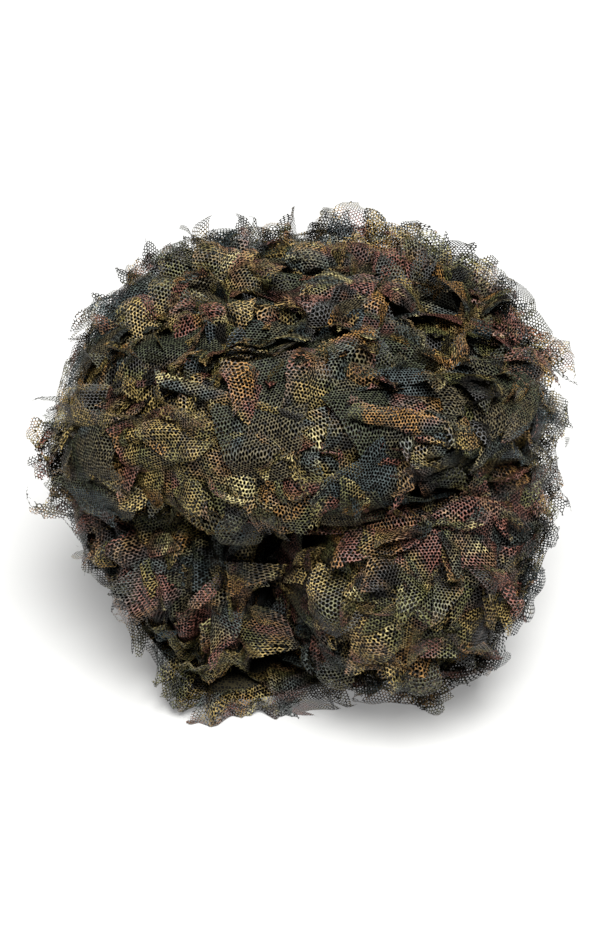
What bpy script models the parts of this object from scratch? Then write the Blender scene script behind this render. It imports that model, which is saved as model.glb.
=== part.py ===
"""A camouflage net, gathered along its length and folded back and forth into a loose bundle.

X runs along the folds, the bundle's front is at -Y and it rests on Z = 0. Two cloths make it:
the ground net, and the leaf cloth that is sewn on one side of it. Both are drawn as one
back-and-forth section of five gathered layers, which changes from left to right. From the top
the layers turn at the front (nose A), at the back, at the front (nose B), at the back, and
end at the front in the foot.
"""

import math

import bmesh
import bpy
import numpy as np

# Driving dimensions, in metres
BARE_GAP = 0.006  # air where two bare sides of the net face each other
LEAF_GAP = 0.015  # space between two layers for the leaf cloth of both and the air between
LEAF_PRESSED = 0.0052  # leaf cloth between two layers, flaps pressed flat
LEAF_FREE = 0.0115  # leaf cloth on the outside, as far as its flaps reach on average
FLAP_RISE = 0.006  # how far tufts of flaps stand above or below that
TUFT_ROOM = 0.022  # where the section's points lie closer than this, tufts rise less
END_FLAPS = 0.012  # how far the leaf cloth reaches past the ground net at each end
CLEARANCE = 0.0003  # between the two cloths
TURN_CLOTH = 0.052  # cloth between a turn's outside and the gap inside it
CROWN = 0.008  # how far the middle of the top stands above a straight run
END_ROUND = 0.022  # length over which each layer draws in at the bundle's two ends
FULL_HEIGHT = 0.22  # where the bundle is lower than this, its gaps close up in proportion
REST_LIMIT = 0.0015  # a lift below this is the flat underside
CREASE_FADE = 0.012  # length over which a crease runs out at its ends

# Shares and roundnesses
END_DRAW = 0.12  # of a layer's thickness, drawn in on each side at the very end
EDGE_SHARE = 0.35  # of the leaf cloth's thickness, left at its own ends
NOSE_A_REACH = 0.62  # of nose A's height, how far it stands forward of its straight layers
NOSE_B_REACH = 0.55  # the same for nose B
FOOT_REACH = 0.50  # the same for the foot
BACK_REACH = 0.45  # the same for the turns at the back
TAIL_SAG = 0.45  # of the top layer's thickness, how far it falls to its back end
TAIL_REACH = 0.35  # of the back end's thickness, how far it is rounded out
TAIL_SHORT = 0.10  # of the depth, how far the top layer ends before the back
LOW_SHORT = 0.06  # of the depth, how far the lower turn ends before the back
MOST_CLOTH = 0.30  # of the depth, the most cloth in a turn
LEAST_SHARE = 0.60  # of the pressed leaf cloth's thickness, the least left under a crease
PLUMP = 2.3  # roundness of a turn: 2 is an ellipse, more is squarer
ROUND = 2.0

# Sections along X, closer together at the two ends and across the crevice
STATION_COUNT = 30
CREVICE_X = -0.012  # the crevice between the left mass and nose B
CREVICE_WIDTH = 0.026
CREVICE_DENSITY = 1.1
END_DENSITY = 0.6
SEED = 20

# Tufts of flaps: how much of their rise is random, and how much runs in rows across the net
TUFT_SHARE = 0.55
ROW_SHARE = 0.45
ROW_TURN = 2.4  # radians of a row's wave from one point of the section to the next
ROW_SWAY = 1.3  # radians by which the rows sway from side to side along X
ROW_SWAY_TURN = 0.7  # radians of that sway from one section to the next

# Finishes: linear red, green and blue, and how rough
GROUND_COLOUR = (0.06, 0.06, 0.035)
GROUND_ROUGHNESS = 0.85
LEAF_COLOUR = (0.16, 0.15, 0.08)
LEAF_ROUGHNESS = 0.75

# One row for each section: how far right it is, the top, then for each turn its frontmost
# point and its underside, the foot's front, the lift off the surface, and the back.
SECTION_COLUMNS = ("x", "top", "a_front", "a_low", "b_front", "b_low", "foot", "lift", "back")
SECTIONS = (
    (-0.191, 0.206, -0.056, 0.184, -0.050, 0.155, -0.040, 0.133, 0.026),
    (-0.172, 0.256, -0.096, 0.210, -0.082, 0.148, -0.064, 0.118, 0.078),
    (-0.142, 0.293, -0.130, 0.218, -0.114, 0.104, -0.092, 0.072, 0.130),
    (-0.105, 0.308, -0.155, 0.217, -0.140, 0.061, -0.118, 0.020, 0.164),
    (-0.066, 0.317, -0.168, 0.213, -0.152, 0.043, -0.130, 0.000, 0.180),
    (-0.034, 0.320, -0.176, 0.210, -0.142, 0.042, -0.130, 0.000, 0.186),
    (-0.012, 0.321, -0.180, 0.213, -0.091, 0.046, -0.125, 0.000, 0.182),
    (0.010, 0.320, -0.181, 0.221, -0.141, 0.052, -0.118, 0.000, 0.184),
    (0.034, 0.317, -0.179, 0.230, -0.178, 0.060, -0.104, 0.000, 0.186),
    (0.054, 0.315, -0.176, 0.237, -0.189, 0.063, -0.097, 0.000, 0.188),
    (0.088, 0.309, -0.170, 0.245, -0.195, 0.063, -0.117, 0.000, 0.183),
    (0.124, 0.303, -0.159, 0.247, -0.188, 0.060, -0.112, 0.002, 0.169),
    (0.158, 0.290, -0.136, 0.240, -0.165, 0.067, -0.080, 0.023, 0.142),
    (0.182, 0.270, -0.097, 0.225, -0.120, 0.098, -0.045, 0.060, 0.100),
    (0.199, 0.248, -0.040, 0.208, -0.058, 0.141, -0.007, 0.109, 0.056),
)
BLEND = 0.012  # half width over which neighbouring sections run into each other

# Creases and ridges laid over the leaf cloth: the stretch they run on, how far along it,
# from where to where in X, how deep (a ridge is negative) and how wide.
CREASE_COLUMNS = ("stretch", "along", "x_from", "x_to", "depth", "width")
CREASES = (
    ("top", 0.62, -0.070, 0.030, 0.007, 0.016),
    ("top", 0.28, 0.040, 0.160, 0.006, 0.018),
    ("top", 0.80, 0.060, 0.190, 0.006, 0.016),
    ("nose_a", 0.34, -0.160, -0.004, 0.010, 0.015),
    ("nose_a", 0.22, -0.150, -0.020, -0.005, 0.015),
    ("nose_a", 0.48, 0.020, 0.180, 0.008, 0.015),
    ("nose_a", 0.66, -0.120, 0.080, -0.004, 0.020),
    ("nose_b", 0.30, 0.050, 0.190, 0.006, 0.016),
    ("nose_b", 0.62, 0.030, 0.180, 0.005, 0.018),
)

# How free the leaf cloth is along each stretch of its side: (how far along, share).
# A stretch with no row lies between two layers and is pressed all along.
FREE_ALONG = {
    "top": ((0.0, 1.0), (1.0, 1.0)),
    "nose_a": ((0.0, 1.0), (0.60, 1.0), (0.95, 0.0)),
    "nose_b": ((0.08, 0.0), (0.35, 1.0), (0.68, 1.0), (0.95, 0.0)),
    "foot": ((0.10, 0.0), (0.50, 0.6), (1.0, 0.4)),
}
PRESSED = ((0.0, 0.0), (1.0, 0.0))


def stations():
    """The X of every section, from the left end to the right one."""
    left = SECTIONS[0][0]
    right = SECTIONS[-1][0]
    fine = np.linspace(left, right, 400)
    density = 1.0 + CREVICE_DENSITY * np.exp(-(((fine - CREVICE_X) / CREVICE_WIDTH) ** 2))
    for end in (left, right):
        density += END_DENSITY * np.exp(-(((fine - end) / END_ROUND) ** 2))
    run = np.concatenate([[0.0], np.cumsum((density[1:] + density[:-1]) / 2)])
    return np.interp(np.linspace(0.0, run[-1], STATION_COUNT), run, fine)


def section_at(x):
    """The table's values at x, run smoothly from row to row."""
    table = np.array(SECTIONS)
    taps = x + BLEND * np.linspace(-1.0, 1.0, 5)
    values = {}
    for number, name in enumerate(SECTION_COLUMNS):
        values[name] = float(np.interp(taps, table[:, 0], table[:, number]).mean())
    if values["lift"] < REST_LIMIT:
        values["lift"] = 0.0
    values["closing"] = min(1.0, (values["top"] - values["lift"]) / FULL_HEIGHT)
    return values


def end_inset(x, thickness):
    """How far the faces of a layer draw in at x, on a quarter round at each end."""
    left = SECTIONS[0][0]
    right = SECTIONS[-1][0]
    room = min(x - left, right - x)
    short = min(1.0, max(0.0, END_ROUND - room) / END_ROUND)
    return END_DRAW * thickness * (1.0 - math.sqrt(1.0 - short**2))


def straight(start, end, count, bow=0.0):
    """Points from start up to, but not at, end. bow lifts the middle."""
    points = []
    for step in range(count):
        share = step / count
        y = start[0] + (end[0] - start[0]) * share
        z = start[1] + (end[1] - start[1]) * share + bow * math.sin(math.pi * share)
        points.append((y, z))
    return points


def turned(y, z_from, z_to, reach, count, fullness=PLUMP):
    """A turn from (y, z_from) up to, but not at, (y, z_to), going out by reach in Y."""
    middle = (z_from + z_to) / 2
    half = (z_from - z_to) / 2
    points = []
    for step in range(count):
        angle = math.pi * step / count
        across = math.copysign(abs(math.cos(angle)) ** (2 / fullness), math.cos(angle))
        out = math.sin(angle) ** (2 / fullness)
        points.append((y + reach * out, middle + half * across))
    return points


def layer_levels(x, row):
    """Each layer's top and underside at this section, from the top layer down."""
    gap = BARE_GAP * row["closing"]
    leaf_gap = LEAF_GAP * row["closing"]
    split_a = (row["top"] + row["a_low"]) / 2
    b_top = row["a_low"] - leaf_gap
    split_b = (b_top + row["b_low"]) / 2
    levels = [
        (row["top"], split_a + gap / 2),
        (split_a - gap / 2, row["a_low"]),
        (b_top, split_b + gap / 2),
        (split_b - gap / 2, row["b_low"]),
        (row["b_low"] - leaf_gap, row["lift"]),
    ]
    drawn = []
    for high, low in levels:
        inset = end_inset(x, high - low)
        drawn.append((high - inset, low + inset))
    return drawn


def depths_at(x, row):
    """How far back the front turns start, the gaps end and the back turns reach."""
    inset = end_inset(x, row["back"] - row["a_front"])
    back = row["back"] - inset
    depth = back - row["a_front"]
    cloth = min(TURN_CLOTH, MOST_CLOTH * depth)
    return {
        "a_front": row["a_front"] + inset,
        "b_front": row["b_front"] + inset,
        "foot": row["foot"] + inset,
        "back": back,
        "low_back": back - LOW_SHORT * depth,
        "tail": back - TAIL_SHORT * depth,
        "leaf_turn": back - cloth,
        "bend_a": row["a_front"] + inset + cloth,
        "bend_b": row["b_front"] + inset + cloth,
    }


def leaf_side(x):
    """The section's leaf side at x, from the top's back end to the foot, as stretches."""
    row = section_at(x)
    (top, _), (_, a_low), (b_top, _), (_, b_low), (foot_top, foot_low) = layer_levels(x, row)
    at = depths_at(x, row)
    nose_a = NOSE_A_REACH * (top - a_low)
    nose_b = NOSE_B_REACH * (b_top - b_low)
    toe = FOOT_REACH * (foot_top - foot_low)
    a_start = at["a_front"] + nose_a
    b_start = at["b_front"] + nose_b
    foot_start = at["foot"] + toe
    turn = at["leaf_turn"]
    return {
        "top": straight(tail_top(x), (a_start, top), 10, CROWN * row["closing"]),
        "nose_a": turned(a_start, top, a_low, -nose_a, 10),
        "under_a": straight((a_start, a_low), (turn, a_low), 3),
        "turn_ab": turned(turn, a_low, b_top, (a_low - b_top) / 2, 2, ROUND),
        "over_b": straight((turn, b_top), (b_start, b_top), 3),
        "nose_b": turned(b_start, b_top, b_low, -nose_b, 9),
        "under_b": straight((b_start, b_low), (turn, b_low), 2),
        "turn_bf": turned(turn, b_low, foot_top, (b_low - foot_top) / 2, 2, ROUND),
        "over_foot": straight((turn, foot_top), (foot_start, foot_top), 2),
        "foot": turned(foot_start, foot_top, foot_low, -toe, 4),
    }


def tail_top(x):
    """The top layer's back end, where it has sagged below the crown."""
    row = section_at(x)
    top, low = layer_levels(x, row)[0]
    return (depths_at(x, row)["tail"], top - TAIL_SAG * (top - low))


def bare_side(x):
    """The section's bare side at x, from the foot back to the top's back end."""
    row = section_at(x)
    (_, l1_low), (l2_top, _), (_, l3_low), (l4_top, _), (foot_top, foot_low) = layer_levels(x, row)
    at = depths_at(x, row)
    foot_start = at["foot"] + FOOT_REACH * (foot_top - foot_low)
    low_turn = at["low_back"] - BACK_REACH * (l4_top - foot_low)
    high_turn = at["back"] - BACK_REACH * (l2_top - l3_low)
    tail_y, tail_z = tail_top(x)
    bend = BARE_GAP * row["closing"] / 2
    return {
        "underside": straight((foot_start, foot_low), (low_turn, foot_low), 4),
        "turn_low": turned(low_turn, foot_low, l4_top, at["low_back"] - low_turn, 6),
        "over_l4": straight((low_turn, l4_top), (at["bend_b"], l4_top), 2),
        "bend_b": turned(at["bend_b"], l4_top, l3_low, -bend, 2, ROUND),
        "under_l3": straight((at["bend_b"], l3_low), (high_turn, l3_low), 2),
        "turn_high": turned(high_turn, l3_low, l2_top, at["back"] - high_turn, 6),
        "over_l2": straight((high_turn, l2_top), (at["bend_a"], l2_top), 2),
        "bend_a": turned(at["bend_a"], l2_top, l1_low, -bend, 2, ROUND),
        "under_l1": straight((at["bend_a"], l1_low), (tail_y, l1_low), 2),
        "tail": turned(tail_y, l1_low, tail_z, TAIL_REACH * (tail_z - l1_low), 4),
    }


def joined(stretches):
    """The stretches' points in one line."""
    return np.array([point for stretch in stretches.values() for point in stretch])


def free_share(stretches):
    """For each point of the leaf side, 1 where the cloth is free and 0 where it is pressed."""
    shares = []
    for name, points in stretches.items():
        knots = np.array(FREE_ALONG.get(name, PRESSED))
        places = np.arange(len(points)) / len(points)
        shares.append(np.interp(places, knots[:, 0], knots[:, 1]))
    return np.concatenate(shares)


def outward(line):
    """The outward direction at each point of the leaf side, square to the line."""
    along = np.gradient(line, axis=0)
    across = np.stack([along[:, 1], -along[:, 0]], axis=1)
    return across / np.linalg.norm(across, axis=1, keepdims=True)


def crease_depth(x, stretches):
    """How far the creases draw the leaf cloth in at each point of the section at x."""
    depths = []
    for name, points in stretches.items():
        run = np.linalg.norm(np.diff(np.array(points), axis=0), axis=1).sum()
        places = np.arange(len(points)) / len(points)
        total = np.zeros(len(points))
        for values in CREASES:
            crease = dict(zip(CREASE_COLUMNS, values))
            if crease["stretch"] != name:
                continue
            middle = (crease["x_from"] + crease["x_to"]) / 2
            reach = (crease["x_to"] - crease["x_from"]) / 2 + CREASE_FADE
            fade = max(0.0, 1.0 - (abs(x - middle) / reach) ** 4)
            away = (places - crease["along"]) * run
            total += crease["depth"] * fade * np.exp(-((away / crease["width"]) ** 2))
        depths.append(total)
    return np.concatenate(depths)


def tuft_rise(line, number, random):
    """How far tufts of flaps stand out or fall back at each point of section number's line."""
    tufts = random.uniform(-1.0, 1.0, len(line))
    sway = ROW_SWAY * math.sin(ROW_SWAY_TURN * number)
    rows = np.sin(ROW_TURN * np.arange(len(line)) + sway)
    spacing = np.linalg.norm(np.gradient(line, axis=0), axis=1)
    room = np.minimum(1.0, spacing / TUFT_ROOM)
    return FLAP_RISE * room * (TUFT_SHARE * tufts + ROW_SHARE * rows)


def loft(name, sections, seam_start, collection, material):
    """One closed solid through the sections, each a closed line of the same number of points.

    From seam_start on the line runs backwards along the other cloth, so its four-sided faces
    are halved the other way, and the two cloths' faces stay parallel.
    """
    mesh = bmesh.new()
    rings = []
    for x, line in sections:
        rings.append([mesh.verts.new((x, y, z)) for y, z in line])
    for left, right in zip(rings, rings[1:]):
        for this in range(len(left)):
            following = (this + 1) % len(left)
            if this < seam_start:
                mesh.faces.new((left[this], left[following], right[following]))
                mesh.faces.new((left[this], right[following], right[this]))
            else:
                mesh.faces.new((left[this], left[following], right[this]))
                mesh.faces.new((left[following], right[following], right[this]))
    ends = [mesh.faces.new(list(reversed(rings[0]))), mesh.faces.new(rings[-1])]
    mesh.normal_update()
    bmesh.ops.triangulate(mesh, faces=ends, ngon_method="EAR_CLIP")
    bmesh.ops.recalc_face_normals(mesh, faces=mesh.faces)
    data = bpy.data.meshes.new(name)
    mesh.to_mesh(data)
    mesh.free()
    data.materials.append(material)
    piece = bpy.data.objects.new(name, data)
    collection.objects.link(piece)
    return piece


def cloth_material(name, colour, roughness):
    """A plain cloth finish."""
    material = bpy.data.materials.new(name)
    material.use_nodes = True
    shader = material.node_tree.nodes["Principled BSDF"]
    shader.inputs["Base Color"].default_value = (*colour, 1.0)
    shader.inputs["Roughness"].default_value = roughness
    shader.inputs["Metallic"].default_value = 0.0
    return material


def ground_sections():
    """The ground net's closed sections: its leaf side, then its bare side."""
    sections = []
    for x in stations():
        sections.append((x, np.concatenate([joined(leaf_side(x)), joined(bare_side(x))])))
    return sections


def flap_edge(section, reach):
    """The leaf cloth's thinner edge, past the ground net's end by reach."""
    x, line = section
    half = len(line) // 2
    outside = line[:half]
    seam = line[half:][::-1]
    thinner = seam + EDGE_SHARE * (outside - seam)
    return (x + reach, np.concatenate([thinner, seam[::-1]]))


def leaf_sections():
    """The leaf cloth's closed sections: along its outside, then back along its seam side."""
    random = np.random.default_rng(SEED)
    sections = []
    for number, x in enumerate(stations()):
        stretches = leaf_side(x)
        line = joined(stretches)
        out = outward(line)
        free = free_share(stretches)
        closing = free + (1.0 - free) * section_at(x)["closing"]
        rise = tuft_rise(line, number, random) - crease_depth(x, stretches)
        thick = LEAF_PRESSED + free * (LEAF_FREE - LEAF_PRESSED + rise)
        thick = np.maximum(thick, LEAST_SHARE * LEAF_PRESSED) * closing
        outside = line + out * thick[:, None]
        outside[:, 1] = np.maximum(outside[:, 1], CLEARANCE)
        seam = line + out * CLEARANCE
        sections.append((x, np.concatenate([outside, seam[::-1]])))
    return [flap_edge(sections[0], -END_FLAPS), *sections, flap_edge(sections[-1], END_FLAPS)]


def centred(sections, middle):
    """The sections moved so that the bundle's box is centred on the origin."""
    return [(x - middle[0], line - np.array([middle[1], 0.0])) for x, line in sections]


def build():
    """The two cloths, in a collection named for the object."""
    for old in list(bpy.data.objects):
        bpy.data.objects.remove(old, do_unlink=True)
    collection = bpy.data.collections.new("camouflage_net")
    bpy.context.scene.collection.children.link(collection)
    ground = ground_sections()
    leaves = leaf_sections()
    depths = np.concatenate([line[:, 0] for _, line in ground + leaves])
    middle = ((ground[0][0] + ground[-1][0]) / 2, (depths.min() + depths.max()) / 2)
    ground_cloth = cloth_material("printed_ground_mesh", GROUND_COLOUR, GROUND_ROUGHNESS)
    leaf_cloth = cloth_material("printed_leaf_mesh", LEAF_COLOUR, LEAF_ROUGHNESS)
    points = len(ground[0][1])
    seam = len(leaves[0][1]) // 2
    loft("ground_net", centred(ground, middle), points, collection, ground_cloth)
    loft("leaf_cloth", centred(leaves, middle), seam, collection, leaf_cloth)


build()
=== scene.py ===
# %% [markdown]
# # A camouflage net, folded into a loose bundle
#
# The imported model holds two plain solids: the ground net, gathered and folded back and forth,
# and the leaf cloth on its outside. This lesson dresses them. The real net is knitted
# polyester mesh with six-sided holes, and its leaf cloth is cut all over into flaps that
# stand up, curl and lie over each other. The lesson cuts leaves out of flat cloth, creases
# each one and lays it on the bundle, and its finish knits the holes.
#
# Everything is in metres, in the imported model's own frame: X runs along the folds, the front
# is at -Y, and the bundle rests on Z = 0.

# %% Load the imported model
import math

import bmesh
import bpy
import numpy as np
from mathutils import Matrix, Vector, noise
from mathutils.bvhtree import BVHTree


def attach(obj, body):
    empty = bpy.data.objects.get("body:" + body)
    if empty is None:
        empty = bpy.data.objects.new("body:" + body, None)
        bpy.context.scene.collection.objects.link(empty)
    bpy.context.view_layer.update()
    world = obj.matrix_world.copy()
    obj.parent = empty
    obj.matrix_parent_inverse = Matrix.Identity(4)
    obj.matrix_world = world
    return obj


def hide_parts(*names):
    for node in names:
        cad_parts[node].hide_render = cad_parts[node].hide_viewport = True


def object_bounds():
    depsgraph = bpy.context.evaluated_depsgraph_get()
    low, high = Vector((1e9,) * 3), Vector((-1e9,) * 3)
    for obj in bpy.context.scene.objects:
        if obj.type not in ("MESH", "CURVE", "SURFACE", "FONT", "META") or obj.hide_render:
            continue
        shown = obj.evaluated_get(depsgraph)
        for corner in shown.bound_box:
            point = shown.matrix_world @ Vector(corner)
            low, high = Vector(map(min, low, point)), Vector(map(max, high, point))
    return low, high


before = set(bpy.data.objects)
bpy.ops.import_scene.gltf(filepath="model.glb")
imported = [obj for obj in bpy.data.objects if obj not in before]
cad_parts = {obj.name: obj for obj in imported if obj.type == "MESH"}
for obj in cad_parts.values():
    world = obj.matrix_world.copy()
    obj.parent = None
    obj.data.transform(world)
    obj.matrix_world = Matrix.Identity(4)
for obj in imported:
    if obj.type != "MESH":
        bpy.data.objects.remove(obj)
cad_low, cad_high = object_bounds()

BODY = "root"
print("CAD box:", [round(v, 3) for v in cad_low], [round(v, 3) for v in cad_high])

# %% [markdown]
# ## Camera, floor and light
#
# The bundle is seen from its front and from above, with a long lens, so that its far side
# isn't much smaller than its near side. The camera's aim is the middle of the bundle's
# outline in that view, which is worked out from the solids.
#
# The light comes from a broad lamp overhead and to the front, which leaves the folds and the
# holes of the mesh dark. The floor is pale paper, a little bright in itself so that the shadow
# on it stays pale. The world fills in weakly from all sides and looks white behind the bundle.

# %% Where the camera stands
CAMERA_RISE = math.radians(33.0)
CAMERA_DISTANCE = 1.9
FRAME_WIDTH = 0.503  # how much of the bundle's place the frame takes in
AIM_DROP = 0.005  # the nearer foot looks larger, so the outline's middle is a little lower
SENSOR = 36.0

view_right = np.array([1.0, 0.0, 0.0])
view_up = np.array([0.0, math.sin(CAMERA_RISE), math.cos(CAMERA_RISE)])
view_back = np.array([0.0, -math.cos(CAMERA_RISE), math.sin(CAMERA_RISE)])


def corners_of(node):
    """The places of a mesh object's vertices, as an array."""
    found = np.empty(len(node.data.vertices) * 3)
    node.data.vertices.foreach_get("co", found)
    return found.reshape(-1, 3)


solid_points = np.concatenate([corners_of(node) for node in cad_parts.values()])
aim = np.zeros(3)
for axis in (view_right, view_up, view_back):
    along = solid_points @ axis
    aim += axis * (along.min() + along.max()) / 2
aim -= view_up * AIM_DROP
print("aim:", aim.round(3))

# %% The camera
camera_data = bpy.data.cameras.new("camera")
camera_data.sensor_fit = "HORIZONTAL"
camera_data.sensor_width = SENSOR
camera_data.lens = SENSOR * CAMERA_DISTANCE / FRAME_WIDTH
camera = bpy.data.objects.new("camera", camera_data)
camera.location = Vector(aim + view_back * CAMERA_DISTANCE)
camera.rotation_euler = (math.pi / 2 - CAMERA_RISE, 0.0, 0.0)
bpy.context.scene.collection.objects.link(camera)
bpy.context.scene.camera = camera
bpy.context.scene.view_settings.view_transform = "Standard"
print("lens:", round(camera_data.lens, 1), "mm")

# %% The floor


def to_linear(code):
    """An sRGB colour such as #8a8058, as linear red, green, blue and full opacity."""
    parts = [int(code[place : place + 2], 16) / 255 for place in (1, 3, 5)]
    light = [p / 12.92 if p <= 0.04045 else ((p + 0.055) / 1.055) ** 2.4 for p in parts]
    return (*light, 1.0)


FLOOR_SIZE = 14.0
PAPER = "#b4b4b2"
FLOOR_GLOW = 0.25  # how bright the paper is in itself
bpy.ops.object.select_all(action="DESELECT")
bpy.ops.mesh.primitive_plane_add(size=FLOOR_SIZE)
floor = bpy.context.object
floor.name = "floor"
# Uncoated paper, pressed flat: matt and even, with no grain to see from here.
paper = bpy.data.materials.new("pale_paper")
paper.use_nodes = True
paper_shader = paper.node_tree.nodes["Principled BSDF"]
paper_shader.inputs["Base Color"].default_value = to_linear(PAPER)
paper_shader.inputs["Roughness"].default_value = 0.9
paper_shader.inputs["Emission Color"].default_value = (1.0, 1.0, 1.0, 1.0)
paper_shader.inputs["Emission Strength"].default_value = FLOOR_GLOW
floor.data.materials.append(paper)
print("floor:", FLOOR_SIZE, "m")

# %% The lamp and the world
KEY_POWER = 6.9  # watts on a square metre
KEY_WIDTH = math.radians(34.0)  # how large the lamp looks: wide enough for soft shadows
KEY_FROM = Vector((0.08, -0.52, 1.0))
WORLD_FILL = 0.08  # of the white that shows behind the bundle
key_data = bpy.data.lights.new("key", "SUN")
key_data.energy = KEY_POWER
key_data.angle = KEY_WIDTH
key = bpy.data.objects.new("key", key_data)
key.rotation_euler = KEY_FROM.to_track_quat("Z", "Y").to_euler()
bpy.context.scene.collection.objects.link(key)
world = bpy.data.worlds.new("studio")
world.use_nodes = True
backdrop = world.node_tree.nodes["Background"]
backdrop.inputs["Color"].default_value = (1.0, 1.0, 1.0, 1.0)
seen = world.node_tree.nodes.new("ShaderNodeLightPath")
strength = world.node_tree.nodes.new("ShaderNodeMapRange")
strength.inputs["To Min"].default_value = WORLD_FILL
world.node_tree.links.new(seen.outputs["Is Camera Ray"], strength.inputs["Value"])
world.node_tree.links.new(strength.outputs["Result"], backdrop.inputs["Strength"])
bpy.context.scene.world = world
print("lamp:", KEY_POWER, "world:", WORLD_FILL)

# %% [markdown]
# ## Surfaces to lay the cloth on
#
# The leaf cloth's solid reaches as far as the flaps do, and the ground net's solid is what
# lies under them. A search tree on both gives the nearest outside point to anything, and one
# on the ground net alone keeps the leaves from sinking into it. A CAD mesh is loose
# triangles, so copies are merged before use.
#
# Leaves are sewn only where there is room for them, not deep in the folds. So many spots are
# strewn over the solids, and from each one rays go out to find how open it is there.

# %% Search trees on the solids
MERGED = 0.00005  # corners nearer than this become one


def merged_copy(node, name):
    """A new mesh like a CAD node's, with its loose triangles merged."""
    mesh = bmesh.new()
    mesh.from_mesh(node.data)
    bmesh.ops.remove_doubles(mesh, verts=mesh.verts, dist=MERGED)
    data = bpy.data.meshes.new(name)
    mesh.to_mesh(data)
    mesh.free()
    return data


def tree_of(meshes):
    """A search tree over several meshes."""
    points, faces = [], []
    for mesh in meshes:
        first = len(points)
        points.extend(vertex.co.copy() for vertex in mesh.vertices)
        faces.extend([first + v for v in face.vertices] for face in mesh.polygons)
    return BVHTree.FromPolygons(points, faces)


ground_mesh = merged_copy(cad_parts["ground_net"], "ground_copy")
leaf_mesh = merged_copy(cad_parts["leaf_cloth"], "leaf_copy")
outside_tree = tree_of([ground_mesh, leaf_mesh])
ground_tree = tree_of([ground_mesh])
print("solids:", len(ground_mesh.polygons), "and", len(leaf_mesh.polygons), "faces")

# %% Where the outside is
OPEN_REACH = 0.08  # a ray that meets nothing this near is free
RAY_START = 0.004
RAY_COUNT = 20
RAY_SPREAD = 0.85  # how far the rays lean, from 0, straight out, to 1, level
LEAST_OPEN = 0.12  # the share of a spot's rays that has to be free
SPOT_AREA = 0.00006  # one spot for this much surface
random = np.random.default_rng(7)


def hemisphere(count):
    """Evenly spread directions round +Z, leaning out from it."""
    turn = np.arange(count) * math.pi * (3.0 - math.sqrt(5.0))
    rise = 1.0 - (np.arange(count) + 0.5) / count * RAY_SPREAD
    out = np.sqrt(1.0 - rise**2)
    return np.stack([out * np.cos(turn), out * np.sin(turn), rise], axis=1)


def openness(place, normal, rays):
    """The share of rays from place that meet neither the bundle nor the floor."""
    turn = Vector((0, 0, 1)).rotation_difference(normal).to_matrix()
    start = place + normal * RAY_START
    free = 0
    for ray in rays:
        way = turn @ Vector(ray)
        if start.z + way.z * OPEN_REACH < 0.0:
            continue
        if outside_tree.ray_cast(start, way, OPEN_REACH)[0] is None:
            free += 1
    return free / len(rays)


def spots_on(mesh):
    """Random places on a mesh's faces, one for each SPOT_AREA, with the faces' normals."""
    found = []
    for face in mesh.polygons:
        share = face.area / SPOT_AREA
        count = int(share) + (random.random() < share % 1.0)
        corners = [mesh.vertices[v].co for v in face.vertices]
        for _ in range(count):
            weights = random.dirichlet([1.0] * len(corners))
            place = sum((c * w for c, w in zip(corners, weights)), Vector())
            found.append((place, face.normal.copy()))
    return found


rays = hemisphere(RAY_COUNT)
spots = []
for mesh, is_leaf in ((leaf_mesh, True), (ground_mesh, False)):
    for place, normal in spots_on(mesh):
        free = openness(place, normal, rays)
        if free > LEAST_OPEN:
            spots.append((place, normal, free, is_leaf))
print("open spots:", len(spots), "of the leaf side:", sum(spot[3] for spot in spots))

# %% [markdown]
# ## Cutting and creasing a leaf
#
# A leaf is cut by its outline, whose half width is given at five places from its sewn root to
# its tip. Half of the leaves have another outline on each side, so a few outlines make many
# leaves. The wide bands have a toothed free edge, because the cloth is cut into leaves there.
#
# Stiff mesh doesn't stretch like rubber: it keeps flat or bends one way at a time. So a leaf
# is shaped by bends, each one about a straight line across it: a trough or ridge along its
# middle, then bends across it, from the tip to the root. Its root lies deep and its tip
# stands proud, as shingles lie on a roof, so every leaf has a dark gap under its free edge.

# %% Outlines
CELL = 0.0034  # the side of a cloth face
PRINT_SIZE = 0.48  # the printed square that every leaf is cut from, and that the UV map spans
PRINT_SHIFT = 0.010  # how far neighbouring leaves shift on the print
OUTLINE_PLACES = (0.0, 0.25, 0.5, 0.75, 1.0)
OUTLINES = {
    "pointed": (0.55, 0.95, 0.85, 0.45, 0.03),
    "rounded": (0.60, 0.90, 1.00, 0.85, 0.25),
    "squared": (0.80, 0.95, 1.00, 0.95, 0.85),
    "triangle": (1.00, 0.80, 0.55, 0.28, 0.03),
    "kite": (0.45, 0.75, 1.00, 0.50, 0.03),
    "straight": (0.70, 0.75, 0.70, 0.50, 0.12),
}
OUTLINE_NAMES = tuple(OUTLINES)
COMMON_SHARES = (0.28, 0.02, 0.10, 0.38, 0.20, 0.02)  # of each outline, in the same order
TIP_SHARES = (0.25, 0.0, 0.05, 0.55, 0.15, 0.0)  # the same for the tips at the rim
EVEN_SHARE = 0.5  # of the leaves, cut the same on both sides
BAND_OUTLINE = (0.92, 0.98, 1.00, 0.98, 0.90)
BAND_TEETH = (2.0, 4.0)  # on one band's free edge, from and to
LEAST_CELLS = 4  # along and across the smallest leaf


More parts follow.
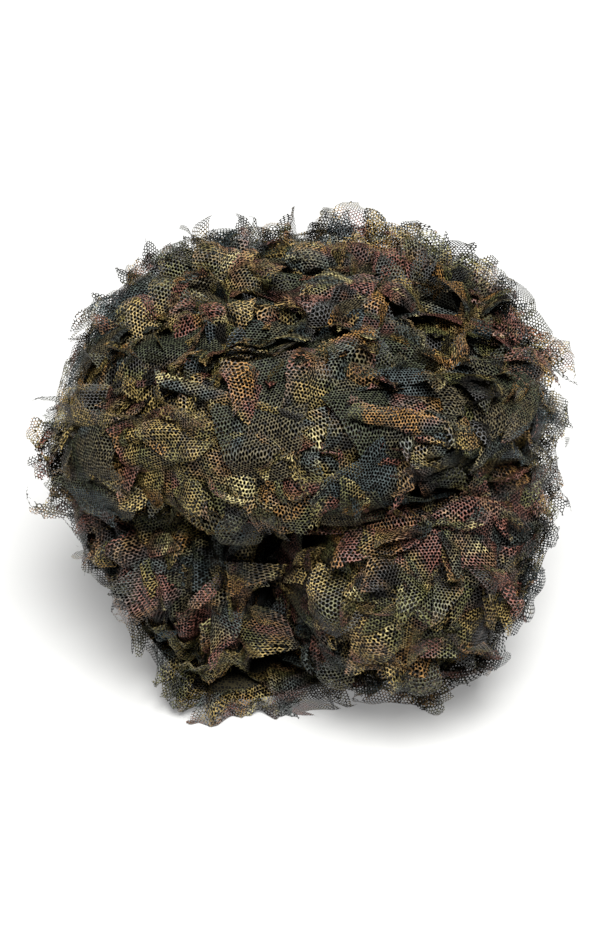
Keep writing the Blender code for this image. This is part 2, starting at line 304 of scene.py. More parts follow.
def cut_leaf(length, width, tooth, shares):
    """A flat leaf's points, X across it and Y from root to tip, its faces and its teeth."""
    rows = max(round(length / CELL), LEAST_CELLS) + 1
    columns = max(round(width / CELL), LEAST_CELLS) + 1
    along, across = np.linspace(0, 1, rows), np.linspace(0, 1, columns)
    if tooth:
        halves = [BAND_OUTLINE, BAND_OUTLINE]
    else:
        names = random.choice(OUTLINE_NAMES, 2, p=shares)
        names[1] = names[0] if random.random() < EVEN_SHARE else names[1]
        halves = [OUTLINES[name] for name in names]
    left, right = (np.interp(along, OUTLINE_PLACES, half) * width / 2 for half in halves)
    x = -left[:, None] + (left + right)[:, None] * across
    count = random.uniform(*BAND_TEETH)
    wave = (across * count + random.uniform(0, 1)) % 1.0
    teeth = 1 - np.abs(2 * wave - 1)
    y = along[:, None] * length * (1 + tooth * (teeth - 0.5) * along[:, None])
    at = np.arange(rows * columns).reshape(rows, columns)
    faces = np.stack([at[:-1, :-1], at[:-1, 1:], at[1:, 1:], at[1:, :-1]], axis=2)
    teeth = np.repeat(teeth[None, :], rows, axis=0) * (tooth > 0)
    return np.stack([x, y], axis=2).reshape(-1, 2), faces.reshape(-1, 4), teeth.ravel()


print("outlines:", ", ".join(OUTLINE_NAMES))

# %% Bends
RUFFLE_WAVE = (0.30, 0.60)  # a ruffle's length, as a share of the leaf's width
FREE_FROM = 0.35  # how far along the leaf its free part starts
FREE_MOST = 1.2
TOOTH_LIFT = 0.007  # how far a band's teeth stand up
GUTTER_LEAN = 0.25
GUTTER_SHIFT = 0.2  # from the middle, as a share of the width
GUTTER_RADIUS = 0.07  # as a share of the width
CROSS_BENDS = ((0.80, 0.5), (0.50, 0.4))  # how far along the leaf, and its share of the curl
CROSS_LEAN = 0.45
CROSS_SHIFT = 0.1
CROSS_RADIUS = (0.05, 0.12)  # as a share of the length
LIFT_PLACE, LIFT_RADIUS = 0.15, 0.12  # as shares of the length
ROLL_LENGTH = 0.008  # of a fold's free edge, turned under
ROLL_RADIUS = 0.003
RISE_CURVE = 1.2  # over 1, the leaf rises more slowly near its root
LEVEL = np.array([1.0, 0.0])  # a line straight across the leaf
print("bends across a leaf:", len(CROSS_BENDS) + 1)


def bend(points, flat, pivot, axis, angle, radius):
    """Turns what lies past a line in the flat leaf about that line, in a soft bend."""
    across = np.array([-axis[1], axis[0]])
    far = (flat - pivot) @ across
    share = np.clip(far / (2 * radius) + 0.5, 0.0, 1.0)
    turn = angle * share * share * (3 - 2 * share)
    line = np.array([axis[0], axis[1], 0.0])
    out = points - np.array([pivot[0], pivot[1], 0.0])
    cos, sin = np.cos(turn)[:, None], np.sin(turn)[:, None]
    turned = out * cos + np.cross(line, out) * sin + line * (out @ line)[:, None] * (1 - cos)
    return turned + np.array([pivot[0], pivot[1], 0.0])


def crease_leaf(flat, teeth, length, width, row, stand):
    """The flat leaf's points after its bends, with Z away from the bundle."""
    points = np.column_stack([flat, np.zeros(len(flat))])
    along = flat[:, 1] / length
    free_edge = np.clip((along - FREE_FROM) / (1 - FREE_FROM), 0, FREE_MOST) ** 2
    wave = random.uniform(*RUFFLE_WAVE) * width
    start = random.uniform(0, 2 * math.pi)
    points[:, 2] += row["ruffle"] * free_edge * np.sin(2 * math.pi * flat[:, 0] / wave + start)
    points[:, 2] += TOOTH_LIFT * teeth**2 * free_edge
    gutter = random.normal(0, row["gutter"])
    lean = random.normal(0, GUTTER_LEAN)
    middle = np.array([random.uniform(-GUTTER_SHIFT, GUTTER_SHIFT) * width, 0.0])
    axis = np.array([math.sin(lean), math.cos(lean)])
    points = bend(points, flat, middle, axis, -gutter, width * GUTTER_RADIUS)
    points = bend(points, flat, middle, -axis, gutter, width * GUTTER_RADIUS)
    if row["roll"]:
        pivot = np.array([0.0, length - ROLL_LENGTH])
        points = bend(points, flat, pivot, LEVEL, -row["roll"], ROLL_RADIUS)
    curl = random.uniform(*row["curl"])
    for place, share in CROSS_BENDS:
        lean = random.normal(0, CROSS_LEAN)
        shift = random.uniform(-CROSS_SHIFT, CROSS_SHIFT)
        pivot = np.array([0.0, length * (place + shift)])
        axis = np.array([math.cos(lean), math.sin(lean)])
        angle = curl * share + random.normal(0, row["crumple"])
        radius = length * random.uniform(*CROSS_RADIUS)
        points = bend(points, flat, pivot, axis, angle, radius)
    pivot = np.array([0.0, length * LIFT_PLACE])
    lift = random.uniform(*row["lift"]) + stand
    points = bend(points, flat, pivot, LEVEL, lift, length * LIFT_RADIUS)
    deep, proud = row["deep"], random.uniform(*row["proud"])
    points[:, 2] += -deep + (deep + proud) * np.clip(along, 0, 1) ** RISE_CURVE
    return points


# %% [markdown]
# ## The main folds
#
# The outside cloth is gathered, so it lies in pleats: each rises slowly to a lip and drops
# behind it into a dark trough. The main ones are listed one by one. A row of the table gives a
# lip's two ends, each as X and as an angle round the bundle, where 0 faces the front and 90
# faces up, then how high it stands and how long its rise is. The lip faces to the right of
# the way from its first end to its second one. Smaller wrinkles run along the folds, and up
# and down on the left mass, where the gathers show.

# %% Pleats and wrinkles
GIRTH_MIDDLE = (0.0, 0.165)  # Y and Z of the line that angles are taken round
GIRTH_RADIUS = 0.17
REST_DEPTH = 0.002  # how far the folds' middle lies under the leaf cloth's solid
LIP_DROP = 0.008
TROUGH = 0.35  # a trough's depth, as a share of its pleat's height
TROUGH_WIDTH = 0.016
LIP_FADE = 0.022
LIP_WAVE = 0.003  # how far a lip wanders to its two sides
LIP_WAVE_RUN = 0.013
LIP_PHASE = 4000  # sets apart the wander of lips that stand differently high
PLEATS = (  # x_from, angle_from, x_to, angle_to, height, run
    (0.040, 73, -0.052, 74, 0.009, 0.030),
    (-0.040, 70, -0.114, 74, 0.006, 0.020),
    (-0.062, 52, -0.160, 56, 0.009, 0.030),
    (-0.080, 40, -0.152, 41, 0.011, 0.026),
    (0.002, 38, -0.072, 39, 0.009, 0.026),
    (0.064, 58, 0.010, 50, 0.008, 0.024),
    (0.172, 62, 0.084, 62, 0.009, 0.030),
    (0.114, 45, 0.058, 45, 0.007, 0.024),
    (0.186, 36, 0.040, 33, 0.009, 0.034),
    (0.128, 34, 0.078, 36, 0.006, 0.020),
    (0.168, 10, 0.075, -14, 0.008, 0.030),
    (-0.108, -62, -0.150, 14, 0.011, 0.017),
    (-0.090, -66, -0.118, 12, 0.010, 0.016),
    (-0.068, -66, -0.088, 12, 0.012, 0.017),
    (-0.046, -66, -0.058, 10, 0.010, 0.015),
    (-0.026, -60, -0.034, 10, 0.011, 0.015),
    (-0.124, 96, 0.010, 100, 0.006, 0.030),
    (0.030, 118, 0.160, 112, 0.006, 0.030),
)
WRINKLE_HEIGHT = 0.006
WRINKLE_LONG = 0.090
WRINKLE_SHORT = 0.034
WRINKLE_SEED = 3.1  # where in the noise the wrinkles are read
WRINKLE_SHARP = 2.2
LEFT_MASS = (-0.010, 17.0)  # its right end in X, and the angle of its top


def soft_step(value):
    """0 below 0, 1 above 1, and a soft rise between."""
    share = np.clip(value, 0.0, 1.0)
    return share * share * (3 - 2 * share)


def wrinkle(x, girth, angle):
    """A ridged noise at one place, long in one direction and short in the other."""
    left, top = LEFT_MASS
    if x < left and angle < top:
        x, girth = girth, x
    at = Vector((x / WRINKLE_LONG, girth / WRINKLE_SHORT, WRINKLE_SEED))
    return 0.5 - abs(noise.noise(at)) * WRINKLE_SHARP


def fold_heights(places):
    """How far the folded cloth stands out at each of these places."""
    down, up = places[:, 1] - GIRTH_MIDDLE[0], places[:, 2] - GIRTH_MIDDLE[1]
    angles = np.arctan2(up, -down)
    x, girth = places[:, 0], angles * GIRTH_RADIUS
    heights = np.array([wrinkle(*at) for at in zip(x, girth, np.degrees(angles))])
    heights *= WRINKLE_HEIGHT
    for x_from, angle_from, x_to, angle_to, height, run in PLEATS:
        start = np.array([x_from, math.radians(angle_from) * GIRTH_RADIUS])
        way = np.array([x_to, math.radians(angle_to) * GIRTH_RADIUS]) - start
        length = np.hypot(*way)
        way /= length
        along = (x - start[0]) * way[0] + (girth - start[1]) * way[1]
        past = (x - start[0]) * -way[1] + (girth - start[1]) * way[0]
        past += LIP_WAVE * np.sin(along / LIP_WAVE_RUN + height * LIP_PHASE)
        rise = soft_step(1 + past / run) * (past <= 0)
        drop = (1 - (1 + TROUGH) * soft_step(past / LIP_DROP)) * (past > 0)
        drop += TROUGH * soft_step((past - LIP_DROP) / TROUGH_WIDTH)
        ends = soft_step(along / LIP_FADE) * soft_step((length - along) / LIP_FADE)
        heights += height * ends * (rise + drop)
    return heights - REST_DEPTH


print("pleats:", len(PLEATS))

# %% [markdown]
# ## Laying a leaf on the bundle
#
# A leaf follows the bundle as a stiff cloth does: from its root, small steps are taken along
# it and then across it, and after each step the direction turns only part of the way to the
# surface below. Over a sharp fold the leaf then stands off the bundle, and over a crevice it
# makes a bridge. The bent leaf is carried on that net of steps.

# %% Steps over the surface
STEP = 0.0055
LEAST_ALIKE = 0.1  # the cosine between two normals past which a step is over a sharp edge
LAST_PLACE = 1.001  # back from a grid's end, so that there is a next place to mix with


def stepped(place, normal, way, count, follow):
    """Places, normals and directions along a walk of count steps over the outside."""
    found = [(place, normal, way)]
    for _ in range(count):
        ahead = place + way * STEP
        near, near_normal, _, _ = outside_tree.find_nearest(ahead)
        if near_normal.dot(normal) > LEAST_ALIKE:
            ahead = ahead.lerp(near, follow)
            normal = normal.lerp(near_normal, follow).normalized()
        way = (way - normal * way.dot(normal)).normalized()
        place = ahead
        found.append((place, normal, way))
    return found


def ground_for(place, normal, way, low, high, follow):
    """A grid of places and normals for a leaf that spans low to high in X and Y."""
    back = int(math.ceil(max(-low[1], 0) / STEP))
    ahead = int(math.ceil(max(high[1], STEP) / STEP))
    left = int(math.ceil(max(-low[0], STEP) / STEP))
    right = int(math.ceil(max(high[0], STEP) / STEP))
    behind = [(p, n, -w) for p, n, w in stepped(place, normal, -way, back, follow)]
    spine = behind[:0:-1] + stepped(place, normal, way, ahead, follow)
    places = np.empty((len(spine), left + right + 1, 3))
    normals = np.empty_like(places)
    for row, (p, n, w) in enumerate(spine):
        side = w.cross(n)
        over = stepped(p, n, -side, left, follow)[:0:-1] + stepped(p, n, side, right, follow)
        places[row] = [step[0] for step in over]
        normals[row] = [step[1] for step in over]
    heights = fold_heights(places.reshape(-1, 3)).reshape(*places.shape[:2], 1)
    return places + normals * heights, normals, np.array([-left * STEP, -back * STEP])


def carried(points, places, normals, origin):
    """The leaf's points on the grid, each one its own height above it."""
    at = (points[:, :2] - origin) / STEP
    top = np.array([places.shape[1], places.shape[0]]) - LAST_PLACE
    at = np.clip(at, 0.0, top)
    low = at.astype(int)
    fx, fy = (at - low).T[:, :, None]
    x, y = low.T

    def between(grid):
        near = grid[y, x] * (1 - fx) + grid[y, x + 1] * fx
        far = grid[y + 1, x] * (1 - fx) + grid[y + 1, x + 1] * fx
        return near * (1 - fy) + far * fy

    normal = between(normals)
    normal /= np.linalg.norm(normal, axis=1)[:, None]
    return between(places) + normal * points[:, 2:]


print("step:", STEP * 1000, "mm")

# %% [markdown]
# ## The leaf cloth
#
# The cloth is laid in seven classes. Plies of the ground net lie deepest, smooth and wide.
# Bands of leaf cloth and folds, which are bands with a rolled edge, lie over them like
# shingles. Large, middle and small leaves stand on those, and short tips stand at the rim.
# Each class has a row in this table. Lengths are in metres and turns in radians, and two
# numbers in brackets are the least and the most.
#
# The root lies `deep` in the bundle and the tip stands `proud` of it. A leaf bends by its
# `lift`, `curl`, `crumple` and `gutter`, its free edge has a `ruffle`, a `tooth` or a `roll`,
# and `follow` says how closely it lies on what is under it. It turns by `spread` from how it
# would hang. At the rim it may `stand`, and `front` is the share that lean forward there.

# %% The classes of cloth
LEAVES_COLUMNS = ("length", "width", "apart", "deep", "proud", "lift", "curl", "crumple",
                  "gutter", "ruffle", "follow", "tooth", "roll", "spread", "stand", "front",
                  "loose", "shares")
LEAF_SIZES = {
    "ply": ((0.080, 0.105), (0.080, 0.100), 0.048, 0.013, (-0.012, -0.009), (0.0, 0.0),
            (0.0, 0.0), 0.03, 0.03, 0.002, (0.95, 1.0), 0.0, 0.0, 1.5, 0.0, 0.0, 0.2,
            COMMON_SHARES),
    "band": ((0.050, 0.070), (0.085, 0.125), 0.044, 0.010, (0.000, 0.005), (0.0, 0.12),
             (-0.2, 0.3), 0.12, 0.08, 0.003, (0.80, 0.95), 0.45, 0.0, 0.30, 0.0, 0.0, 0.25,
             COMMON_SHARES),
    "fold": ((0.056, 0.075), (0.085, 0.125), 0.046, 0.010, (0.003, 0.008), (0.0, 0.12),
             (-0.3, 0.1), 0.10, 0.06, 0.003, (0.75, 0.95), 0.0, 2.6, 0.35, 0.0, 0.0, 0.25,
             COMMON_SHARES),
    "large": ((0.052, 0.078), (0.040, 0.058), 0.042, 0.009, (0.002, 0.008), (0.0, 0.4),
              (-0.3, 0.7), 0.20, 0.40, 0.002, (0.50, 0.80), 0.0, 0.0, 0.7, 0.5, 0.3, 0.5,
              COMMON_SHARES),
    "middle": ((0.036, 0.054), (0.026, 0.040), 0.033, 0.006, (0.003, 0.010), (0.1, 0.8),
               (-0.4, 0.7), 0.20, 0.50, 0.001, (0.30, 0.60), 0.0, 0.0, 1.0, 0.9, 0.15, 1.0,
               COMMON_SHARES),
    "small": ((0.020, 0.033), (0.016, 0.027), 0.033, 0.004, (0.004, 0.011), (0.3, 1.1),
              (-0.5, 0.6), 0.15, 0.5, 0.0, (0.10, 0.40), 0.0, 0.0, 2.0, 0.9, 0.25, 1.5,
              COMMON_SHARES),
    "edge": ((0.019, 0.029), (0.017, 0.028), 0.027, 0.003, (0.001, 0.004), (-0.2, 0.2),
             (-0.2, 0.3), 0.08, 0.25, 0.0, (0.60, 0.90), 0.0, 0.0, 0.50, 1.0, 0.6, 1.0,
             TIP_SHARES),
}
BASE_CLASSES = ("ply", "band", "fold")  # these lie evenly all over
print("classes:", ", ".join(LEAF_SIZES))

# %% [markdown]
# The cloth hangs down the front and the back, sideways on the left mass, and aslant on the
# right lobe. On the upper mass and the lobe the leaves are sewn further apart, so that the
# bands show between them, and on the top they are closer.
#
# Where the bundle turns away from whoever looks down on it from the front, leaves that lie
# flat would be seen edge on. There they stand up from their roots, so that the bundle's rim is
# a fringe of tips. At the lower left and in the middle of the left end they hang flat.

# %% How the cloth hangs
FRONT = Vector((0.0, -0.84, 0.54))  # where whoever looks down on the bundle stands
UNDER_ANGLE, BACK_ANGLE = -90.0, 115.0
FOOT_ANGLE = -28.0  # below this, the cloth hangs down over the foot
LEFT_PARTING = 7 * LEFT_MASS[0]  # left of this, the left mass hangs to the left
BACK_WAY = Vector((0.0, 0.4, -1.0))
FOOT_WAY = Vector((0.0, -0.2, -1.0))
LEFT_WAY = Vector((-1.0, 0.0, -0.5))
RIGHT_WAY = Vector((1.0, 0.0, -0.5))
LOBE_WAY = Vector((-0.6, -0.3, -1.0))
FRONT_WAY = Vector((0.0, -1.0, -0.8))
LEAST_WAY = 0.1  # a shorter way along the surface says nothing
RIM = (-0.25, 0.32)  # how far a surface faces the front, from and to, where leaves get the darker print of painted shade
RIM_SPARSER = 1.1
ZONES = (  # x_from, x_to, angle_from, angle_to, and how much sparser its leaves are
    (0.015, 0.250, -52, 16, 1.4),
    (-0.190, 0.060, 16, 48, 1.6),
    (-0.250, 0.250, 48, 120, 0.84),
)
FLAT_ZONES = (  # x_from, x_to, z_from, z_to
    (-0.300, -0.120, 0.00, 0.125),
    (-0.300, -0.160, 0.14, 0.290),
)


def angle_round(place):
    """The angle of a place round the bundle in radians, from 0 at the front and upwards."""
    return math.atan2(place.z - GIRTH_MIDDLE[1], GIRTH_MIDDLE[0] - place.y)


def hanging_way(place, normal):
    """The direction in which cloth that is fixed at place hangs down."""
    angle = math.degrees(angle_round(place))
    left, top = LEFT_MASS
    if angle < UNDER_ANGLE or angle > BACK_ANGLE:
        way = BACK_WAY
    elif angle < FOOT_ANGLE:
        way = FOOT_WAY
    elif angle < top and place.x < left:
        way = LEFT_WAY if place.x < LEFT_PARTING else RIGHT_WAY
    elif angle < top and place.x > -left:
        way = LOBE_WAY
    else:
        way = FRONT_WAY
    way = way - normal * way.dot(normal)
    return way.normalized() if way.length > LEAST_WAY else normal.orthogonal()


def hangs_flat(place):
    """Whether the leaves hang flat here, even where the bundle turns away."""
    return any(x_from < place.x < x_to and z_from < place.z < z_to
               for x_from, x_to, z_from, z_to in FLAT_ZONES)


def at_rim(normal):
    """Whether a surface faces away from the front about as the bundle's rim does."""
    return RIM[0] < normal.dot(FRONT) < RIM[1]


def sparser(place, normal):
    """How much further apart the leaves that stand on the bands are at this place."""
    if at_rim(normal):
        return RIM_SPARSER
    angle = math.degrees(angle_round(place))
    for x_from, x_to, angle_from, angle_to, factor in ZONES:
        if x_from < place.x < x_to and angle_from < angle < angle_to:
            return factor
    return 1.0


print("spots where leaves hang flat:", sum(hangs_flat(spot[0]) for spot in spots))

# %% [markdown]
# Leaves are sewn neither in a grid nor in heaps. The spots are taken in a shuffled order, and
# one is kept if no earlier one is too near. The least distance is the class's own, and it is
# larger in closed places and on the bare ground net.

# %% Where the leaves are sewn
GROUND_GAP = 1.4  # how much further apart the leaves on the ground net are
OPEN_GAIN, OPEN_START = 1.5, 0.50  # an openness of a third or more counts as full
print("roots apart:", {size: row[2] for size, row in LEAF_SIZES.items()})


def thinned(order, apart, even):
    """Of the spots in this order, those no nearer to an earlier one than apart."""
    kept, places = [], np.empty((0, 3))
    for index in order:
        place, normal, free, is_leaf = spots[index]
        gap = apart * (1.0 if is_leaf else GROUND_GAP)
        gap /= math.sqrt(min(free * OPEN_GAIN + OPEN_START, 1.0))
        gap *= 1.0 if even else sparser(place, normal)
        here = np.array(place)
        if len(kept) and ((places - here) ** 2).sum(axis=1).min() < gap * gap:
            continue
        kept.append(index)
        places = np.vstack([places, here])
    return kept


# %% [markdown]
# A leaf has to stay near the bundle, above the ground net and off the floor. Its points are
# held back softly, so that a tip which stands too far out bends over and isn't cut off. Faces
# that the laying has pulled too far are left out, and so is a leaf with many of them.

# %% Keeping the leaves near the bundle
NEAR = 0.03  # how far a search for a surface reaches
MOST_PAST = 0.019  # how far past the CAD's box a leaf reaches
MOST_RISE = (0.014, 0.024)  # a leaf bends up freely to the first, and never past the second
MOST_PROUD = (0.013, 0.022)  # the same for how far its tip stands off the solid
FLOOR_CLEAR = 0.0008
GROUND_CLEAR = -0.003  # how far above the ground net's solid a leaf has to stay
STRETCH_LIMITS = (0.3, 2.4)  # a face side outside these shares of its flat length is cut
STRAINED = 1.5  # a side over this share of its flat length is strained
MOST_STRAINED = 0.30  # a leaf with more than this share of strained faces is left out
LEAST_SIDE = CELL / 3  # a shorter side counts as this long
print("past the CAD box at most:", MOST_PAST, "above the solid at most:", MOST_PROUD[1])


def limited(value, limits):
    """The value, held back softly past the first limit so that it never passes the second."""
    free, most = limits
    over = (value - free) / (most - free)
    return np.where(over > 0, free + (most - free) * np.tanh(over), value)


def cleared(points):
    """The points moved out of the ground net, off the floor, and down if they stand proud."""
    for row in points:
        place = Vector(row)
        near, normal, _, away = outside_tree.find_nearest(place)
        if away > MOST_PROUD[0] and (place - near).dot(normal) > 0:
            place = near + (place - near) * (float(limited(away, MOST_PROUD)) / away)
        near, normal, _, away = ground_tree.find_nearest(place)
        if (place - near).dot(normal) < GROUND_CLEAR and away < NEAR:
            place = near + normal * GROUND_CLEAR
        row[:] = place
    points = np.clip(points, np.array(cad_low) - MOST_PAST, np.array(cad_high) + MOST_PAST)
    points[:, 2] = np.maximum(points[:, 2], FLOOR_CLEAR)
    return points


def unstretched(points, flat, faces):
    """The faces that keep about the size they were cut to, or none if many are strained."""
    sides = points[faces] - points[np.roll(faces, 1, axis=1)]
    cut = flat[faces] - flat[np.roll(faces, 1, axis=1)]
    cut_length = np.maximum(np.linalg.norm(cut, axis=2), LEAST_SIDE)
    share = np.linalg.norm(sides, axis=2) / cut_length
    low, high = STRETCH_LIMITS
    if (share.max(axis=1) > STRAINED).mean() > MOST_STRAINED:
        return faces[:0]
    return faces[(share.max(axis=1) < high) & (share.mean(axis=1) > low)]


# %% [markdown]
# The leaves are cut from one printed cloth, so each one has a place on the print. Leaves that
# are neighbours on the bundle were neighbours on the cloth, so their colours run on from one
# to the next, a little shifted and turned. A laid leaf is a little larger or smaller than it
# was cut, so its part of the print is scaled to keep the mesh's holes at their true size.

# %% Places on the print
PULLED = (1.0, 1.5)  # how much larger a laid leaf's part of the print may be
LOOSE_SHIFT = 3  # how much more the looser leaves shift on the print
PRINT_MARGIN = 0.01  # kept free at the print's sides, as a share of it
print("print:", PRINT_SIZE, "m square")


def area_of(points, faces):
    """The whole area of four-sided faces on points in a plane or in space."""
    across = points[faces[:, 2]] - points[faces[:, 0]]
    over = points[faces[:, 3]] - points[faces[:, 1]]
    square = (across**2).sum(axis=1) * (over**2).sum(axis=1)
    square -= (across * over).sum(axis=1) ** 2
    return float(np.sqrt(np.maximum(square, 0.0)).sum() / 2)


def folded_back(value, low, high):
    """The value, mirrored at low and high until it lies between them."""
    room = high - low
    share = np.abs((value - low) / room) % 2.0
    return low + room * np.where(share > 1, 2 - share, share)


def printed(flat, place, way, pulled, loose):
    """A leaf's points as places on the print, for a leaf laid at place along way."""
    angle = angle_round(place)
    around = Vector((0.0, math.sin(angle), math.cos(angle)))
    spin = math.atan2(way.dot(around), way.x) - math.pi / 2
    spin += random.normal(0, loose)
    c, s = math.cos(spin), math.sin(spin)
    middle = flat.mean(axis=0)
    scale = pulled / PRINT_SIZE
    reach = np.linalg.norm(flat - middle, axis=1).max() * scale + PRINT_MARGIN
    at = np.array([place.x, angle * GIRTH_RADIUS])
    at += random.normal(0, PRINT_SHIFT * (1 + LOOSE_SHIFT * loose), 2)
    at /= PRINT_SIZE
    turned = (flat - middle) @ np.array([[c, s], [-s, c]]) * scale
    return turned + folded_back(at + 0.5, reach, 1 - reach)


# %% [markdown]
# Now one leaf can be laid: it is cut, turned the way it hangs or stood up, creased, carried
# over the bundle, held back and given its place on the print.

# %% Laying one leaf
TURNED = 0.85  # a leaf stands up to face the front where its surface faces it less than this
TURN_KEPT = 0.7  # how much of its own turn a standing leaf keeps
STAND_SHARE = (0.45, 1.0)  # of the angle that would turn it all the way
MOST_STAND = 1.35  # radians
print("a leaf stands up by at most", round(math.degrees(MOST_STAND)), "degrees")


def laid(place, normal, row, length, width, turn, follow):
    """One leaf's points, faces, places on the print and flat area, or None.

    It is turned by turn from the way that it would hang, and keeps follow of each step's
    way down to the surface.
    """
    flat, faces, teeth = cut_leaf(length, width, row["tooth"], row["shares"])
    way = Matrix.Rotation(turn, 3, normal) @ hanging_way(place, normal)
    facing, stand = normal.dot(FRONT), 0.0
    if row["stand"] and facing < TURNED and not hangs_flat(place):
        away = (normal * facing - FRONT).normalized()
        to_front = random.random() < row["front"]
        way = Matrix.Rotation(turn * TURN_KEPT, 3, normal) @ (-away if to_front else away)
        stand = math.pi - math.acos(facing) if to_front else math.acos(facing)
        stand = min(stand, MOST_STAND) * row["stand"] * random.uniform(*STAND_SHARE)
    points = crease_leaf(flat, teeth, length, width, row, stand)
    points[:, 2] = limited(points[:, 2], MOST_RISE)
    root = place - way * length * 0.5
    near, near_normal, _, _ = outside_tree.find_nearest(root)
    if near_normal.dot(normal) > 0.0 and (near - root).length < NEAR:
        root, normal = near, near_normal
        way = (way - normal * way.dot(normal)).normalized()
    grid = ground_for(root, normal, way, points.min(axis=0), points.max(axis=0), follow)
    points = cleared(carried(points, *grid))
    kept = unstretched(points, flat, faces)
    if not len(kept):
        return None
    area = area_of(flat, kept)
    pulled = np.clip(math.sqrt(area_of(points, kept) / area), *PULLED)
    return points, kept, printed(flat, place, way, pulled, row["loose"]), area


def leaf_at(spot, size):
    """A leaf of this class at this spot, as laid gives it."""
    row = dict(zip(LEAVES_COLUMNS, LEAF_SIZES[size]))
    place, normal, _, _ = spots[spot]
    length = random.uniform(*row["length"])
    width = random.uniform(*row["width"])
    turn = random.normal(0, row["spread"])
    follow = random.uniform(*row["follow"])
    return laid(place, normal, row, length, width, turn, follow)


# %% [markdown]
# The short tips stand only where the bundle turns away from the front. They and the other
# leaves at the rim are kept apart, because they get a darker print there: painted shade.

# %% Laying all the leaves
TIP_FACING = (-0.30, 0.62)  # how far a surface faces the front, from and to, under short tips
SHADE_PAINTED_AT_RIM = ("large", "middle", "small")
leaves, rim_leaves = {}, []
order = np.arange(len(spots))
for size in LEAF_SIZES:
    random.shuffle(order)
    if size == "edge":
        facing = np.array([spot[1].dot(FRONT) for spot in spots])
        turned_away = (facing > TIP_FACING[0]) & (facing < TIP_FACING[1])
        order = order[turned_away[order]]
    roots = thinned(order, LEAF_SIZES[size][2], size in BASE_CLASSES)
    leaves[size], made = [], []
    for root in roots:
        leaf = leaf_at(root, size)
        if not leaf:
            continue
        made.append(leaf)
        # Leaves at the rim get the darker print: painted shade where the bundle turns away.
        dark = size in SHADE_PAINTED_AT_RIM and at_rim(spots[root][1])
        (rim_leaves if dark or size == "edge" else leaves[size]).append(leaf)
    faces = sum(len(leaf[1]) for leaf in made)
    area = sum(leaf[3] for leaf in made)
    print(size, len(made), "of", len(roots), "faces:", faces, "area:", round(area, 3))

# %% [markdown]
# Where the upper mass runs into the lobe, the cloth bridges the fold between them, on the left
# its edge hangs a little over the lower mass, and a few bridges hang over the foot. Over the
# upper mass and the lobe, swags of it lie across the bundle, as gathered cloth does, and
# small ones close the gap over the foot's left end. They are listed one by one. A row gives X
# and an angle round the bundle, then the piece's size, its turn, and how closely it follows
# the surface.

# %% Bridges and swags
BRIDGES = (  # x, angle, length, width, turn, follow
    (0.040, 25, 0.075, 0.060, -0.5, 0.35),
    (0.068, 31, 0.090, 0.075, -0.3, 0.30),
    (0.096, 25, 0.080, 0.070, 0.3, 0.30),
    (0.120, 32, 0.095, 0.080, 0.1, 0.30),
    (0.146, 25, 0.080, 0.070, -0.3, 0.35),
    (0.166, 29, 0.085, 0.070, 0.2, 0.35),
    (-0.150, 20, 0.060, 0.060, 0.3, 0.50),
    (-0.104, 20, 0.062, 0.075, -0.2, 0.50),
    (-0.055, 19, 0.060, 0.070, 0.2, 0.50),
    (-0.115, -34, 0.055, 0.050, 0.3, 0.45),
    (-0.090, -38, 0.060, 0.055, -0.2, 0.45),
    (-0.064, -40, 0.060, 0.055, 0.2, 0.45),
    (-0.036, -40, 0.055, 0.050, -0.3, 0.45),
    (-0.128, -30, 0.050, 0.045, 0.2, 0.45),
    (-0.114, -44, 0.050, 0.045, -0.3, 0.45),
    (-0.099, -52, 0.050, 0.045, 0.2, 0.45),
    (-0.080, -58, 0.050, 0.045, -0.2, 0.45),
)
BRIDGE_SHIFTS = (-0.012, 0.010)  # each row makes two, side by side
BRIDGE_TURN = 0.2
SWAGS = (  # the same
    (-0.150, 37, 0.046, 0.080, 0.05, 0.85),
    (-0.084, 39, 0.046, 0.085, -0.05, 0.85),
    (-0.018, 38, 0.046, 0.080, 0.10, 0.85),
    (-0.120, 26, 0.046, 0.090, -0.05, 0.85),
    (-0.045, 27, 0.046, 0.090, 0.05, 0.85),
    (-0.130, 50, 0.044, 0.080, 0.10, 0.85),
    (-0.040, 60, 0.044, 0.085, -0.10, 0.85),
    (0.070, 46, 0.046, 0.080, -0.25, 0.80),
    (0.130, 42, 0.046, 0.080, -0.15, 0.80),
    (0.100, 2, 0.050, 0.090, -0.20, 0.85),
    (0.080, -20, 0.050, 0.090, -0.20, 0.85),
    (-0.118, -49, 0.040, 0.050, 0.10, 0.30),
    (-0.105, -51, 0.040, 0.050, -0.10, 0.30),
    (-0.092, -53, 0.040, 0.050, 0.10, 0.30),
    (-0.080, -55, 0.040, 0.050, -0.10, 0.30),
)
SWAG_PROUD = (0.008, 0.011)
FAR_OUT = 0.4  # further than the bundle reaches


def outside_at(x, angle):
    """The outermost place at X and an angle round the bundle, with its normal."""
    turned = math.radians(angle)
    out = Vector((0.0, -math.cos(turned), math.sin(turned)))
    start = Vector((x, *GIRTH_MIDDLE)) + out * FAR_OUT
    place, normal, _, _ = outside_tree.ray_cast(start, -out)
    return place, normal


bridge_row = dict(zip(LEAVES_COLUMNS, LEAF_SIZES["fold"]))
swag_row = dict(bridge_row, proud=SWAG_PROUD)
placed = []
for x, angle, length, width, turn, follow in BRIDGES:
    for shift in BRIDGE_SHIFTS:
        spot = outside_at(x + shift, angle)
        loosely = turn + random.normal(0, BRIDGE_TURN)
        placed.append(laid(*spot, bridge_row, length, width, loosely, follow))
for x, angle, length, width, turn, follow in SWAGS:
    placed.append(laid(*outside_at(x, angle), swag_row, length, width, turn, follow))
leaves["placed"] = [leaf for leaf in placed if leaf]
print("placed by hand:", len(leaves["placed"]), "of", len(placed))

# %% [markdown]
# The leaves are joined into a few pieces, none of them over 200,000 triangles, each with the
# leaves of one stretch of the cloth, from the top of the bundle to its foot.

